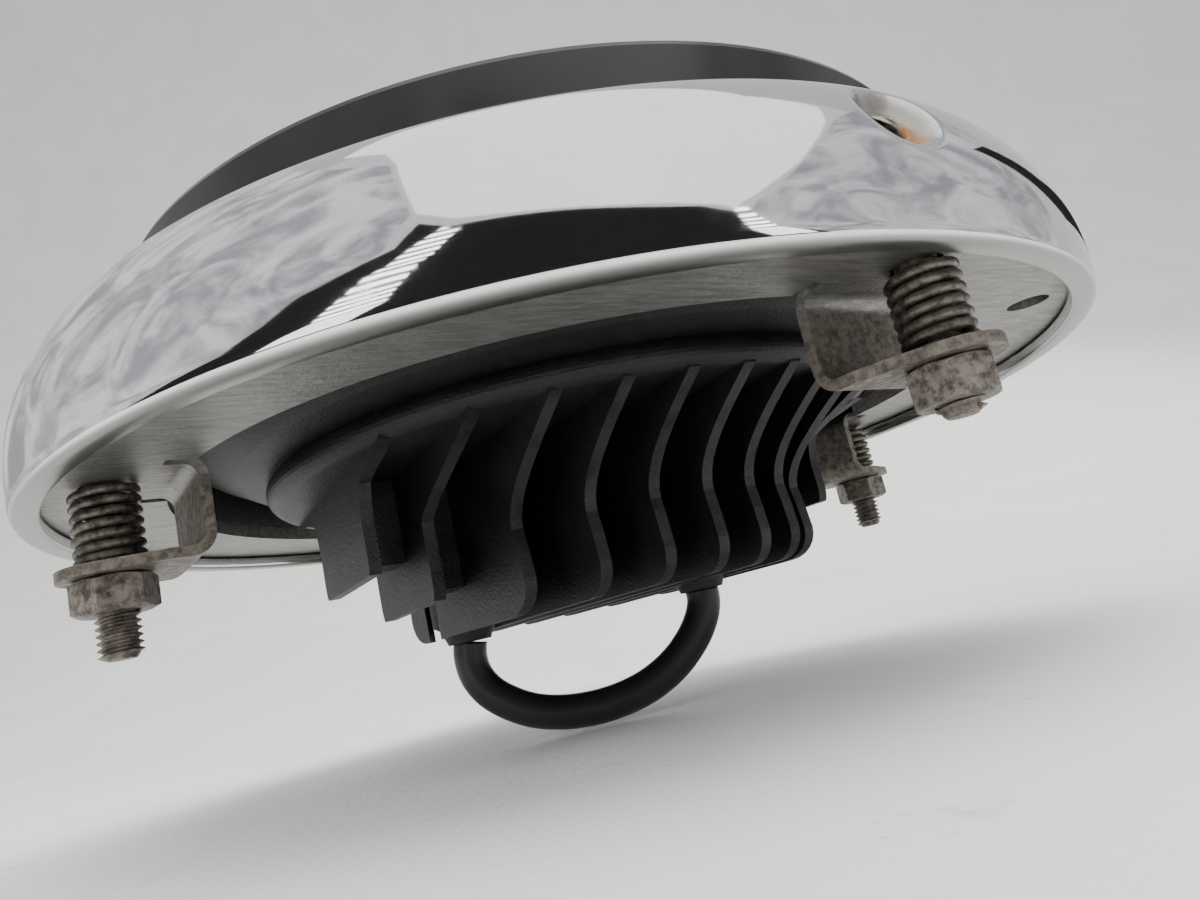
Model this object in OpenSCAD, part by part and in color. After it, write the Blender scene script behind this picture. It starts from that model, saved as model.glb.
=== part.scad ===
// LED motorcycle headlight in a chromed trim bezel.
// The lens faces +Z. The origin is the middle of the bezel's rear rim.
// -Y is the six o'clock side, where the retaining screw goes in.

/* [Bezel] */
// Largest outer radius of the bezel
bezel_r = 94.2; // [93:0.1:98]
// Height of the crown above the rear rim
bezel_h = 27; // [26:0.5:30]
// Width of the bulge from the top of the crown out to the widest part
bezel_flare = 15; // [14:0.1:16]
// Height at which the bezel is widest
bezel_belly_z = 5; // [4:0.5:7]
// Thickness of the pressed sheet
bezel_t = 1.2; // [0.8:0.1:1.4]
// Width of the rolled rear rim
hem_w = 2.8; // [2:0.1:3.2]
// Height of the rolled rear rim
hem_h = 2.6; // [2:0.1:3]
// Height of the roll between the crown and the front opening
roll_h = 5; // [4:0.5:6]
// Clearance between the bezel's front opening and the lamp's front ring
bezel_ring_gap = 1; // [0.5:0.1:1.2]

/* [Retaining screw seat] */
// Angle of the seat round the lamp
seat_angle = -90; // [-100:1:-80]
// Height of the seat above the rear rim
seat_z = 17.5; // [15:0.5:19]
// Diameter of the pressed dimple
dimple_d = 12.6; // [10:0.2:14]
// Depth of the dimple
dimple_depth = 2.4; // [1.5:0.1:3]
// Diameter of the screw hole
seat_hole_d = 5.2; // [4:0.1:6]

/* [Mounting plate] */
// Height of the plate's rear face above the rear rim
plate_z = 2.8; // [2.7:0.1:4]
// Sheet thickness of the plate
plate_t = 1.5; // [1:0.1:2]
// Gap between the lamp housing and the plate's inner edge
plate_gap = 2.5; // [2:0.1:3.5]
// Height of the outer upturned flange
plate_flange_h = 7; // [4:0.5:8]
// Angle of the first stud, counted from +X
plate_turn = 5.5; // [0:0.5:12]
// Number of stud brackets
bracket_count = 4; // [3:1:4]
// Distance from the back of a bracket's web out to its stud
stud_reach = 12.3; // [11.5:0.1:12.8]
// Width of the folded bracket at its web
bracket_w = 20; // [16:1:24]
// Inner height of the folded bracket
bracket_h = 11.7; // [10:0.1:14]
// Distance that the bracket's web stands inside the plate's inner edge
web_inset = 3; // [2.4:0.1:3.4]
// Inside radius of the bracket's folds
fold_r = 2; // [1:0.1:3]
// Radius of the rounded end round the stud
bracket_end_r = 7.2; // [6.4:0.1:8]
// Width of the relief notches beside each bracket
notch_w = 2.4; // [1.5:0.1:4]
// Depth of the relief notches
notch_depth = 3; // [2:0.5:4]
// Diameter of the round hole in the plate
plate_hole_d = 6.4; // [4:0.2:8]
// Distance of that hole's middle from the plate's outer edge
plate_hole_inset = 7.1; // [6:0.1:8]
// Angle of that hole round the lamp
plate_hole_angle = -55.5; // [-65:0.5:-45]

/* [Studs, springs and nuts] */
// Thread diameter of the studs
stud_d = 6; // [5:1:6]
// Length of the stud below the nut
stud_tail = 6.5; // [3:0.5:9]
// Diameter of the stud's round head
stud_head_d = 11; // [9:0.5:13]
// Height of the stud's round head
stud_head_h = 2; // [1.5:0.5:3]
// Width across the flats of the nuts
nut_af = 10; // [9:0.5:11]
// Height of the nuts
nut_h = 5; // [4:0.5:6]
// Outer diameter of the springs
spring_d = 9.6; // [9.2:0.1:10.4]
// Wire diameter of the springs
spring_wire = 1.4; // [1.1:0.1:1.5]
// Turns of each spring
spring_turns = 6.5; // [5:0.5:7]

/* [Lamp housing] */
// Distance that the housing's flange reaches past the front ring
flange_step = 3.6; // [3:0.1:4.5]
// Thickness of the flange
flange_t = 3; // [2:0.5:4]
// Height of the flange's rear face above the rear rim
flange_z = 14.5; // [13.5:0.5:15]
// Distance from the front ring's outside in to the housing's wall
housing_step = 4.9; // [4.5:0.1:5.5]
// Wall of the housing
housing_wall = 3.5; // [2.5:0.5:4]
// Thickness of the base plate that carries the fins
base_t = 4; // [3:0.5:5]
// Distance from the housing's wall in to the rounded lip at the base
lip_step = 12.8; // [12:0.1:14]
// Height of the spigot that carries the front ring
spigot_h = 3.5; // [2:0.5:4]

/* [Cooling fins] */
// Number of fins
fin_count = 11; // [7:2:11]
// Distance from fin to fin
fin_pitch = 9.4; // [7:0.2:9.4]
// Thickness of a fin
fin_t = 2; // [1.5:0.1:2.6]
// Depth of the middle fins below the base
fin_h = 27.6; // [22:0.1:32]
// Distance that the fin ends stay inside the lip where they meet the base
fin_root_inset = 1.3; // [1:0.1:3]
// Distance that the fin ends draw in from the base to their waist
fin_draw = 17; // [12:0.5:18]
// Depth of the waist below the base
fin_waist_depth = 15; // [12:0.5:18]
// Radius of the lower corner of each fin
fin_corner_r = 5; // [3:0.5:6]
// Bulge of the fin ends below the waist
fin_bulge = 0.8; // [0:0.1:2]
// Half width of the block of fins that reach full depth
fin_full_half = 29; // [18:1:36]
// How fast the outer fins get shorter
fin_rise = 0.6; // [0.2:0.1:0.8]
// Shortest half length of an outer fin
fin_half_min = 15; // [10:1:20]
// Thickness of the spine across the fins
spine_t = 8; // [5:0.5:12]
// Distance that the spine stays back from the fin edges
spine_inset = 2.4; // [1:0.2:5]

/* [Front ring and lens] */
// Distance from the top of the crown in to the front ring
crown_step = 3.8; // [3.4:0.1:4.2]
// Wall of the front ring
ring_wall = 2.6; // [2:0.1:2.8]
// Height of the ring's front edge above the rear rim
ring_z = 38.5; // [37:0.5:42]
// Width of the lip over the lens
ring_lip_w = 4.6; // [4:0.1:5.5]
// Thickness of the lip over the lens
ring_lip_t = 1.9; // [1.4:0.1:2.5]
// Thickness of the lens
lens_t = 2.6; // [2:0.1:3.5]
// Rise of the lens at its middle
lens_rise = 1.8; // [0.5:0.1:3]
// Thickness of the seal under the lip
seal_t = 0.6; // [0.4:0.1:1]

/* [Gasket] */
// Width of the flat gasket between flange and bezel
gasket_w = 2.6; // [1.5:0.1:2.8]
// Thickness of the gasket
gasket_t = 2; // [1.5:0.1:2.4]

/* [Optics] */
// Half the gap between the two projector lenses
optic_gap = 5; // [4:0.5:6]
// Radius of the projector lenses
projector_r = 17; // [14:0.5:18]
// Height of the projector lens at its middle
projector_h = 9; // [6:0.5:10]
// Thickness of the edge of the projector lenses
projector_edge = 2; // [1.5:0.1:3]
// Wall of the optic holders
holder_wall = 1.6; // [1.2:0.1:2.2]
// Radius of the holder's foot on the board
holder_foot_r = 9; // [8:0.5:11]
// Thickness of the inner trim
trim_t = 2; // [1.5:0.1:3]
// Height of the inner trim's floor below the lens
trim_depth = 9; // [7:0.5:10]
// Height of the raised rim round each optic
trim_rim_h = 1.6; // [1:0.1:3]

/* [Circuit boards] */
// Distance that the light board reaches past the optic holders
board_end = 8; // [7:0.5:10]
// Thickness of the boards
board_t = 1.6; // [1:0.2:2]
// Size of the light chips
chip_w = 5; // [3:0.5:7]
// Height of the light chips
chip_h = 0.8; // [0.5:0.1:1.2]
// Width of the driver board
driver_w = 18; // [14:1:20]
// Length of the driver board
driver_l = 50; // [40:1:54]
// Distance from the housing's lip in to the middle of the driver board
driver_edge = 23.7; // [23:0.1:25]
// Gap between the two boards
board_gap = 3; // [2:0.5:5]
// Shank diameter of the board screws
board_screw_d = 3; // [2:0.5:4]
// Length of the board screws under the head
board_screw_l = 4; // [3:0.5:5]
// Distance of the board screws from the board's edges
board_screw_inset = 4; // [3.5:0.5:6]

/* [Cord and its glands] */
// Diameter of the cord
cord_d = 6.5; // [5:0.5:8]
// Body diameter of the rubber glands
gland_d = 13; // [11:0.5:14]
// Length of the gland's body below its boss
gland_body = 7; // [5:0.5:8]
// Length of the tapered nose
gland_nose = 3; // [2:0.5:4]
// Diameter of the gland's plug inside the boss
gland_plug_d = 9; // [7:0.5:10]
// Length of the gland's plug inside the boss
gland_plug_l = 6; // [4:0.5:8]
// Depth of the bosses below the base
boss_depth = 19; // [16:0.5:20]
// Wall of the bosses round the gland's plug
boss_wall = 3; // [2:0.5:4]

/* [Hidden] */
$fn = 96;
fit = 0.1;          // clearance between seated pieces
thread_fit = 0.05;  // radial clearance in a nut or a screw hole
over = 1;           // how far a cutter reaches past a face

// Radii, each taken from the one outside it
crown_r = bezel_r - bezel_flare;
ring_r = crown_r - crown_step;
flange_r = ring_r + flange_step;
housing_r = ring_r - housing_step;
lip_r = housing_r - lip_step;
fin_root_r = lip_r - fin_root_inset;
fin_waist_r = fin_root_r - fin_draw;
plate_inner_r = housing_r + plate_gap;
web_r = plate_inner_r - web_inset;
stud_circle_r = web_r + stud_reach;

// Bezel section
rim_r = bezel_r - 1.2;
hem_inner_r = rim_r - hem_w;
belly_a = bezel_flare;
belly_b = bezel_h - bezel_belly_z;
opening_r = ring_r + bezel_ring_gap;
bezel_lip_z = flange_z + flange_t + gasket_t + fit;
function belly(a, t) = [crown_r + (belly_a - t) * cos(a), bezel_belly_z + (belly_b - t) * sin(a)];
function roll(a, t) =
    [crown_r + (crown_r - opening_r - t) * cos(a), bezel_h - roll_h + (roll_h - t) * sin(a)];

// Where the seat's normal leaves the bezel
seat_theta = asin((seat_z - bezel_belly_z) / belly_b);
seat_point_r = crown_r + belly_a * cos(seat_theta);
seat_tilt = atan2(belly_a * sin(seat_theta), belly_b * cos(seat_theta));

// Mounting plate and its brackets
plate_outer_r = rim_r - 1.4;
plate_top = plate_z + plate_t;
plate_hole_r = plate_outer_r - plate_hole_inset;
arm_top = plate_z - bracket_h;
arm_z = arm_top - plate_t;
nut_z = arm_z - fit - nut_h;
stud_end = nut_z - stud_tail;
bracket_step = 360 / bracket_count;

// Lamp housing
flange_top = flange_z + flange_t;
spigot_r = ring_r - ring_wall - fit;
spigot_wall = 2.4;
lip_round = 2.4;
fin_overlap = 1;

// Front ring stack
lens_top = ring_z - ring_lip_t - seal_t;
lens_r = ring_r - ring_wall - 2 * fit;
lens_rear = lens_top - lens_t;
trim_floor_z = lens_rear - fit - trim_depth;

// Boards and optics
board_z = base_t + fit;
board_top = board_z + board_t;
holder_z = board_top + fit;
projector_z = trim_floor_z - projector_edge - fit;
optic_offset = projector_r + optic_gap;
driver_x = lip_r - driver_edge;
board_w = 2 * (driver_x - driver_w / 2 - board_gap);
board_l = 2 * (optic_offset + holder_foot_r + board_end);

// Cord: it leaves one gland, sags below the fins and goes back in at the other
loop_turn = -29.5;
loop_back = 3;
cord_route = [[-27.5, -29], [-28, -32], [-27.5, -35.5], [-25.5, -39], [-22, -42], [-17.5, -44.4],
              [-12, -45.8], [-6, -46.2], [0, -45.6], [5.5, -44], [10.5, -41.3], [14.5, -37.8],
              [17, -34.5], [18.3, -31.5], [18.5, -29]];
cord_sides = 8;
gland_ends = [cord_route[0], cord_route[len(cord_route) - 1]];
gland_z = gland_ends[0][1] + gland_nose + gland_body;

module at_studs() {
    for (i = [0 : bracket_count - 1])
        rotate([0, 0, plate_turn + bracket_step * i])
            translate([stud_circle_r, 0, 0])
                children();
}

// Pressed and chromed trim ring

module bezel_section() {
    outer = concat(
        [[opening_r, bezel_lip_z]],
        [for (a = [180 : -15 : 105]) roll(a, 0)],
        [for (a = [90 : -7.5 : 0]) belly(a, 0)],
        [[bezel_r - 0.1, 2.6], [bezel_r - 0.5, 1], [rim_r, 0.2], [rim_r - 0.6, 0]]);
    inner = concat(
        [[hem_inner_r + 0.6, 0], [hem_inner_r, 0.6], [hem_inner_r, hem_h - 0.6],
         [hem_inner_r + 0.6, hem_h], [bezel_r - bezel_t, hem_h]],
        [for (a = [0 : 7.5 : 90]) belly(a, bezel_t)],
        [for (a = [105 : 15 : 180]) roll(a, bezel_t)],
        [[opening_r + bezel_t, bezel_lip_z]]);
    polygon(concat(outer, inner));
}

module at_seat() {
    rotate([0, 0, seat_angle])
        translate([seat_point_r, 0, seat_z])
            rotate([0, 90 - seat_tilt, 0])
                children();
}

module bezel() {
    floor_d = seat_hole_d + 1.6;
    color("silver")
    difference() {
        union() {
            rotate_extrude($fn = 180) bezel_section();
            at_seat()
                translate([0, 0, -dimple_depth - bezel_t])
                    cylinder(d1 = floor_d + 1.6, d2 = dimple_d + 0.4, h = dimple_depth);
        }
        at_seat()
            translate([0, 0, -dimple_depth])
                cylinder(d1 = floor_d, d2 = dimple_d + 1, h = dimple_depth + 0.4);
        at_seat()
            translate([0, 0, -dimple_depth - bezel_t - over])
                cylinder(d = seat_hole_d, h = bezel_t + 2 * over);
    }
}

// Folded plate: a flat ring with an outer flange, an inner collar and four C brackets

module bracket_profile() {
    out_r = fold_r + plate_t;
    tip = stud_circle_r + bracket_end_r;
    module fold(x, y, sx, sy) {
        translate([x, y])
            intersection() {
                difference() {
                    circle(r = out_r);
                    circle(r = fold_r);
                }
                translate([sx < 0 ? -out_r : 0, sy < 0 ? -out_r : 0]) square(out_r);
            }
    }
    translate([web_r + out_r, plate_z])
        square([plate_inner_r + notch_depth + over - web_r - out_r, plate_t]);
    fold(web_r + out_r, plate_top - out_r, -1, 1);
    translate([web_r, arm_z + out_r]) square([plate_t, plate_top - arm_z - 2 * out_r]);
    fold(web_r + out_r, arm_z + out_r, -1, -1);
    translate([web_r + out_r, arm_z]) square([tip - web_r - out_r, plate_t]);
}

module bracket_plan() {
    w = bracket_w / 2;
    translate([stud_circle_r, 0]) circle(r = bracket_end_r);
    polygon([[web_r - over, -w], [web_r + 6, -w], [stud_circle_r + 1.4, -bracket_end_r + 0.15],
             [stud_circle_r + 1.4, bracket_end_r - 0.15], [web_r + 6, w], [web_r - over, w]]);
}

module bracket() {
    intersection() {
        translate([0, bracket_w / 2, 0])
            rotate([90, 0, 0])
                linear_extrude(height = bracket_w) bracket_profile();
        translate([0, 0, arm_z - over])
            linear_extrude(height = plate_top - arm_z + 2 * over) bracket_plan();
    }
}

module mounting_plate() {
    collar_top = flange_z - fit;
    gap_w = bracket_w + 2 * notch_w;
    color("rosybrown")
    difference() {
        union() {
            difference() {
                rotate_extrude($fn = 180) {
                    translate([plate_inner_r, plate_z])
                        square([plate_outer_r - plate_inner_r, plate_t]);
                    translate([plate_outer_r - plate_t, plate_z])
                        square([plate_t, plate_flange_h]);
                    translate([plate_inner_r, plate_z])
                        square([plate_t, collar_top - plate_z]);
                }
                at_studs()
                    translate([plate_inner_r - stud_circle_r - over, -gap_w / 2, plate_z - over])
                        cube([notch_depth + over, gap_w, collar_top]);
                at_studs()
                    translate([plate_inner_r - stud_circle_r - over, -gap_w / 2, plate_top])
                        cube([plate_t + 2 * over, gap_w, collar_top]);
            }
            at_studs() translate([-stud_circle_r, 0, 0]) bracket();
        }
        at_studs()
            translate([0, 0, arm_z - over])
                cylinder(d = stud_d + 0.6, h = plate_top - arm_z + 2 * over);
        rotate([0, 0, plate_hole_angle])
            translate([plate_hole_r, 0, plate_z - over])
                cylinder(d = plate_hole_d, h = plate_t + 2 * over);
    }
}

module adjuster_studs() {
    color("dimgray")
    at_studs() {
        translate([0, 0, stud_end])
            cylinder(d1 = stud_d - 1.2, d2 = stud_d, h = 0.6);
        translate([0, 0, stud_end + 0.6])
            cylinder(d = stud_d, h = plate_top - stud_end - 0.6);
        translate([0, 0, plate_top + fit / 2])
            cylinder(d1 = stud_head_d, d2 = stud_head_d - 1.6, h = stud_head_h);
        translate([0, 0, plate_top - fit])
            cylinder(d = stud_d, h = 3 * fit);
    }
}

module adjuster_nuts() {
    corner_d = nut_af / cos(30);
    slope = nut_h + corner_d;
    color("gray")
    at_studs()
        translate([0, 0, nut_z])
            difference() {
                intersection() {
                    cylinder(d = corner_d, h = nut_h, $fn = 6);
                    cylinder(d1 = nut_af - 0.4, d2 = nut_af - 0.4 + 4 * slope, h = slope);
                    translate([0, 0, nut_h - slope])
                        cylinder(d1 = nut_af - 0.4 + 4 * slope, d2 = nut_af - 0.4, h = slope);
                }
                translate([0, 0, -over])
                    cylinder(d = stud_d + 2 * thread_fit, h = nut_h + 2 * over);
            }
}

// Compression spring with closed ends: the height follows the turn count

function spring_z(turn, height) =
    let (closed = 0.75, low = closed * spring_wire, open = spring_turns - 2 * closed)
    turn < closed ? turn * spring_wire :
    turn > spring_turns - closed ? height - (spring_turns - turn) * spring_wire :
    low + (turn - closed) / open * (height - 2 * low);

module spring(index) {
    steps = 18;
    sides = 6;
    count = round(spring_turns * steps);
    coil_r = (spring_d - spring_wire) / 2;
    height = bracket_h - spring_wire - 2 * fit;
    points = [for (i = [0 : count], k = [0 : sides - 1])
        let (a = 360 * i / steps, b = 360 * k / sides,
             r = coil_r + spring_wire / 2 * cos(b),
             z = spring_z(i / steps, height) + spring_wire / 2 * sin(b))
        [r * cos(a), r * sin(a), z]];
    skin = [for (i = [0 : count - 1], k = [0 : sides - 1])
        let (n = (k + 1) % sides)
        [i * sides + k, (i + 1) * sides + k, (i + 1) * sides + n, i * sides + n]];
    first = [for (k = [0 : sides - 1]) k];
    last = [for (k = [sides - 1 : -1 : 0]) count * sides + k];
    color("slategray")
    rotate([0, 0, plate_turn + bracket_step * index])
        translate([stud_circle_r, 0, arm_top + fit + spring_wire / 2])
            polyhedron(points = points, faces = concat(skin, [first], [last]), convexity = 10);
}

// Flat rubber ring between the lamp's flange and the bezel's lip

module gasket() {
    color("black")
    rotate_extrude($fn = 180)
        translate([opening_r - 0.2, flange_top + fit / 2])
            square([gasket_w, gasket_t]);
}

// Die-cast housing: a shallow bowl with a flange, a spigot and a block of fins

module housing_section() {
    neck_z = flange_z - 2.5;
    shoulder_r = lip_r + 4.3;
    outside = concat(
        [[0, 0], [lip_r - lip_round, 0]],
        [for (a = [-75 : 15 : 60]) [lip_r - lip_round + lip_round * cos(a), lip_round + lip_round * sin(a)]],
        [[shoulder_r, lip_round + 3.4], [housing_r - 2, neck_z - 2.6], [housing_r, neck_z],
         [housing_r, flange_z], [flange_r, flange_z], [flange_r, flange_top],
         [spigot_r, flange_top], [spigot_r, flange_top + spigot_h]]);
    inside = [[spigot_r - spigot_wall, flange_top + spigot_h], [spigot_r - spigot_wall, flange_top],
              [housing_r - housing_wall, flange_top - 2], [housing_r - housing_wall, neck_z],
              [shoulder_r - 1, base_t + 2.6], [lip_r - 2, base_t], [0, base_t]];
    polygon(concat(outside, inside));
}

// The end of a fin from its root to its lower corner, as radius and depth
function fin_end() = concat(
    [[fin_root_r, 0]],
    [for (u = [0.1 : 0.1 : 1])
        [fin_root_r - (fin_root_r - fin_waist_r) * sin(90 * u), fin_waist_depth * u]],
    [[fin_waist_r + fin_bulge * 0.6, (fin_waist_depth + fin_h - fin_corner_r) / 2]],
    [for (a = [0 : 15 : 90])
        [fin_waist_r + fin_bulge - fin_corner_r * (1 - cos(a)), fin_h - fin_corner_r * (1 - sin(a))]]);

function fin_depth(x) = fin_h - fin_rise * max(0, abs(x) - fin_full_half);
function fin_half(x, r) = sqrt(max(r * r - x * x, fin_half_min * fin_half_min * r / fin_waist_r));

module fin(x) {
    k = fin_depth(x) / fin_h;
    front = [for (p = fin_end()) [fin_half(x, p[0]), -p[1] * k]];
    back = [for (i = [len(front) - 1 : -1 : 0]) [-front[i][0], front[i][1]]];
    top = [[-front[0][0], fin_overlap], [front[0][0], fin_overlap]];
    translate([x - fin_t / 2, 0, 0])
        rotate([90, 0, 90])
            linear_extrude(height = fin_t)
                polygon(concat(top, front, back));
}

module spine() {
    half = (fin_count - 1) / 2;
    for (i = [-half : half - 1]) {
        x = i * fin_pitch;
        depth = min(fin_depth(x), fin_depth(x + fin_pitch)) - spine_inset;
        translate([x, -spine_t / 2, -depth])
            cube([fin_pitch, spine_t, depth + fin_overlap]);
    }
}

module at_glands() {
    for (end = gland_ends)
        rotate([0, 0, loop_turn])
            translate([end[0], loop_back, 0])
                children();
}

module at_board_screws() {
    for (x = [-1, 1], y = [-1, 1])
        translate([x * (board_w / 2 - board_screw_inset), y * (board_l / 2 - board_screw_inset), 0])
            children();
}

module heat_sink() {
    half = (fin_count - 1) / 2;
    boss_d = gland_plug_d + 2 * boss_wall;
    color([0.13, 0.13, 0.14])
    difference() {
        union() {
            rotate_extrude($fn = 180) housing_section();
            difference() {
                union() {
                    for (i = [-half : half]) fin(i * fin_pitch);
                    spine();
                }
                at_glands()
                    translate([0, 0, -fin_h - over])
                        cylinder(d = boss_d, h = fin_h + gland_z + over + fit);
            }
            at_glands()
                translate([0, 0, gland_z + fit])
                    cylinder(d = boss_d, h = fin_overlap - gland_z - fit);
        }
        at_glands()
            translate([0, 0, gland_z])
                cylinder(d = gland_plug_d + 2 * fit, h = gland_plug_l + fit);
        at_board_screws()
            translate([0, 0, board_top - board_screw_l - 2 * fit])
                cylinder(d = board_screw_d + 2 * thread_fit, h = base_t);
    }
}

// Black ring round the lens

module front_ring() {
    inner_r = ring_r - ring_wall;
    color([0.09, 0.09, 0.1])
    rotate_extrude($fn = 180)
        polygon([[inner_r, flange_top + fit], [ring_r, flange_top + fit], [ring_r, ring_z - 1.2],
                 [ring_r - 0.4, ring_z - 0.4], [ring_r - 1.2, ring_z],
                 [ring_r - ring_lip_w + 0.5, ring_z], [ring_r - ring_lip_w, ring_z - 0.5],
                 [ring_r - ring_lip_w, ring_z - ring_lip_t], [inner_r, ring_z - ring_lip_t]]);
}

module lens() {
    face_r = ring_r - ring_lip_w - 0.4;
    steps = 10;
    function dome(u) = lens_rise * (1 - u * u);
    color([0.85, 0.92, 0.96, 0.5])
    rotate_extrude($fn = 180)
        polygon(concat(
            [[lens_r, lens_rear], [lens_r, lens_top], [face_r, lens_top]],
            [for (i = [steps : -1 : 0]) [face_r * i / steps, lens_top + dome(i / steps)]],
            [for (i = [0 : steps]) [face_r * i / steps, lens_rear + dome(i / steps)]]));
}

module lens_seal() {
    color("dimgray")
    rotate_extrude($fn = 180)
        translate([ring_r - ring_lip_w + 0.4, lens_top + fit / 2])
            square([lens_r - ring_r + ring_lip_w - 0.4, seal_t - fit]);
}

// Black trim behind the lens, with an opening and a raised rim for each optic

module at_optic(side) {
    translate([0, side * optic_offset, 0]) children();
}

module inner_trim() {
    wall_r = lens_r - fit;
    hole_r = projector_r - 1;
    color([0.07, 0.07, 0.08])
    difference() {
        union() {
            rotate_extrude($fn = 180)
                polygon([[0, trim_floor_z], [wall_r - 6, trim_floor_z], [wall_r - 1.2, trim_floor_z + 2],
                         [wall_r, trim_floor_z + 4], [wall_r, lens_rear - fit],
                         [wall_r - trim_t, lens_rear - fit], [wall_r - trim_t, trim_floor_z + 5],
                         [wall_r - 7, trim_floor_z + trim_t], [0, trim_floor_z + trim_t]]);
            for (side = [-1, 1])
                at_optic(side)
                    translate([0, 0, trim_floor_z])
                        cylinder(r = hole_r + 2.4, h = trim_t + trim_rim_h);
        }
        for (side = [-1, 1])
            at_optic(side) {
                translate([0, 0, trim_floor_z - over])
                    cylinder(r = hole_r, h = trim_t + trim_rim_h + 2 * over);
                translate([0, 0, trim_floor_z + trim_t])
                    cylinder(r1 = hole_r, r2 = hole_r + 1.6, h = trim_rim_h + 0.1);
            }
    }
}

module projector_lens(side) {
    dome_r = projector_r - 2;
    rise = projector_h - projector_edge;
    steps = 8;
    color([0.9, 0.95, 1, 0.6])
    at_optic(side)
        translate([0, 0, projector_z])
            rotate_extrude()
                polygon(concat(
                    [[0, 0], [projector_r, 0], [projector_r, projector_edge]],
                    [for (i = [0 : steps])
                        [dome_r * cos(90 * i / steps), projector_edge + rise * sin(90 * i / steps)]]));
}

module optic_holder(side) {
    top_z = projector_z - fit;
    color("lightgray")
    at_optic(side)
        rotate_extrude()
            polygon([[holder_foot_r - holder_wall, holder_z], [holder_foot_r + 1.4, holder_z],
                     [holder_foot_r + 1.4, holder_z + 1.2], [holder_foot_r, holder_z + 1.8],
                     [projector_r - 1, top_z - 2], [projector_r, top_z - 1.4], [projector_r, top_z],
                     [projector_r - holder_wall - 1, top_z], [holder_foot_r - holder_wall, holder_z + 1.8]]);
}

module light_board() {
    color("white")
    difference() {
        translate([-board_w / 2, -board_l / 2, board_z])
            cube([board_w, board_l, board_t]);
        at_board_screws()
            translate([0, 0, board_z - over])
                cylinder(d = board_screw_d + 4 * fit, h = board_t + 2 * over);
    }
}

module light_chips() {
    color("khaki")
    for (side = [-1, 1])
        at_optic(side)
            translate([-chip_w / 2, -chip_w / 2, board_top])
                cube([chip_w, chip_w, chip_h]);
}

module driver_board() {
    color("darkgreen")
    translate([driver_x - driver_w / 2, -driver_l / 2, board_z])
        cube([driver_w, driver_l, board_t]);
}

// Choke, two capacitors and a power chip on the driver board

module driver_parts() {
    color("darkslategray")
    translate([driver_x, 0, board_top]) {
        translate([0, -driver_l * 0.3, 0]) cylinder(r = driver_w * 0.3, h = 5);
        for (y = [0, driver_l * 0.18])
            translate([0, y, 0]) cylinder(r = driver_w * 0.2, h = 7);
        translate([-driver_w * 0.25, driver_l * 0.34, 0]) cube([driver_w * 0.5, driver_l * 0.1, 1.6]);
    }
}

module board_screws() {
    head_h = board_screw_d * 0.6;
    color("silver")
    at_board_screws() {
        translate([0, 0, board_top + fit / 2 - board_screw_l])
            cylinder(d = board_screw_d, h = board_screw_l);
        translate([0, 0, board_top + fit / 2])
            cylinder(d1 = board_screw_d * 1.9, d2 = board_screw_d * 1.5, h = head_h);
    }
}

// Rubber gland: a plug in the boss, a round body and a short tapered nose

module gland(end) {
    color([0.1, 0.1, 0.1])
    rotate([0, 0, loop_turn])
        translate([end[0], loop_back, 0])
            rotate_extrude()
                polygon([[0, gland_z + gland_plug_l - fit], [0, end[1]],
                         [cord_d / 2 + 0.9, end[1]],
                         [gland_d / 2 - 1.2, end[1] + gland_nose],
                         [gland_d / 2, end[1] + gland_nose + 0.8],
                         [gland_d / 2, gland_z],
                         [gland_plug_d / 2, gland_z],
                         [gland_plug_d / 2, gland_z + gland_plug_l - fit]]);
}

// Cord: a round tube swept along its hand-chosen route

function route_point(i) = let (p = cord_route[i]) [p[0], loop_back, p[1]];
function spline(a, b, c, d, u) = 0.5 * ((2 * b) + (c - a) * u
    + (2 * a - 5 * b + 4 * c - d) * u * u + (3 * b - a - 3 * c + d) * u * u * u);
function clamp_index(i) = max(0, min(len(cord_route) - 1, i));
function route_at(s) =
    let (i = min(floor(s), len(cord_route) - 2), u = s - i)
    i == 0 && u == 0 ? route_point(0) :
    spline(route_point(clamp_index(i - 1)), route_point(i), route_point(i + 1),
           route_point(clamp_index(i + 2)), u);

module cord() {
    per_span = 3;
    last = (len(cord_route) - 1) * per_span;
    centres = [for (i = [0 : last]) route_at(i / per_span)];
    points = [for (i = [0 : last], k = [0 : cord_sides - 1])
        let (t0 = centres[min(i + 1, last)] - centres[max(i - 1, 0)],
             t = i == 0 || i == last ? [0, 0, i == 0 ? -1 : 1] : t0 / norm(t0),
             side = [t[2], 0, -t[0]],
             b = 360 * (k + 0.5) / cord_sides)
        centres[i] + cord_d / 2 * (cos(b) * side + sin(b) * [0, 1, 0])];
    skin = [for (i = [0 : last - 1], k = [0 : cord_sides - 1])
        let (n = (k + 1) % cord_sides)
        [i * cord_sides + k, i * cord_sides + n, (i + 1) * cord_sides + n, (i + 1) * cord_sides + k]];
    first = [for (k = [cord_sides - 1 : -1 : 0]) k];
    end = [for (k = [0 : cord_sides - 1]) last * cord_sides + k];
    color([0.06, 0.06, 0.06])
    rotate([0, 0, loop_turn])
        polyhedron(points = points, faces = concat(skin, [first], [end]), convexity = 6);
}

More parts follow.
